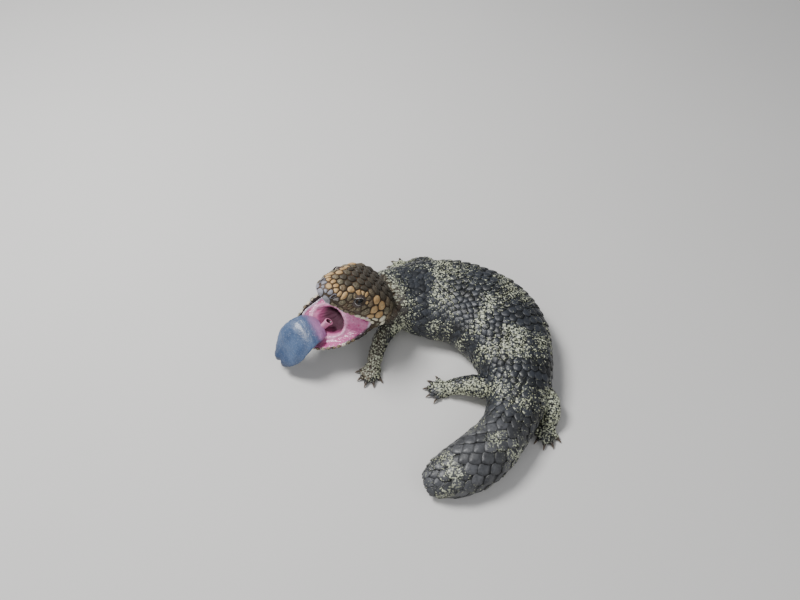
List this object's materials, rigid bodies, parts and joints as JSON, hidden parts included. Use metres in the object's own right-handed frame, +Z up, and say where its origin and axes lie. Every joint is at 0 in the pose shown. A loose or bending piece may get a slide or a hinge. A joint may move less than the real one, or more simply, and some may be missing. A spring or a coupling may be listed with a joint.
{
  "type": "shingleback skink, a blue-tongued lizard",
  "caption": "Life-size shingleback skink curled to its left, head thrown up and mouth wide open, with its broad blue tongue out and its stumpy scaled tail drawn round.",
  "frame": {"origin": "on the ground, at the middle of the animal's bounding box", "axes": "+Z up, +Y to the far side of the curled body, +X from the open mouth towards the outside of the curl"},
  "size_m": [0.2136, 0.2114, 0.0835],
  "materials": {
    "body_skin": "rough dark scales with pale speckled bands",
    "leg_skin": "small speckled scales",
    "head_skin": "rough tan shields with dark seams",
    "mouth": "wet pink lining",
    "throat": "wet dark red lining",
    "tongue": "moist blue",
    "eye": "wet, dark",
    "claw": "dark horn"
  },
  "bodies": {
    "root": {"head": "head_skin", "lower_jaw": "head_skin", "palate": "mouth", "mouth_floor": "mouth", "throat": "throat", "tongue": "tongue", "eye_left": "eye", "eye_right": "eye", "neck": "body_skin", "trunk_front": "body_skin", "trunk_rear": "body_skin", "hips": "body_skin", "tail_base": "body_skin", "tail_tip": "body_skin", "leg_front_left": "leg_skin", "leg_front_right": "leg_skin", "leg_hind_left": "leg_skin", "leg_hind_right": "leg_skin"}
  },
  "joints": []
}
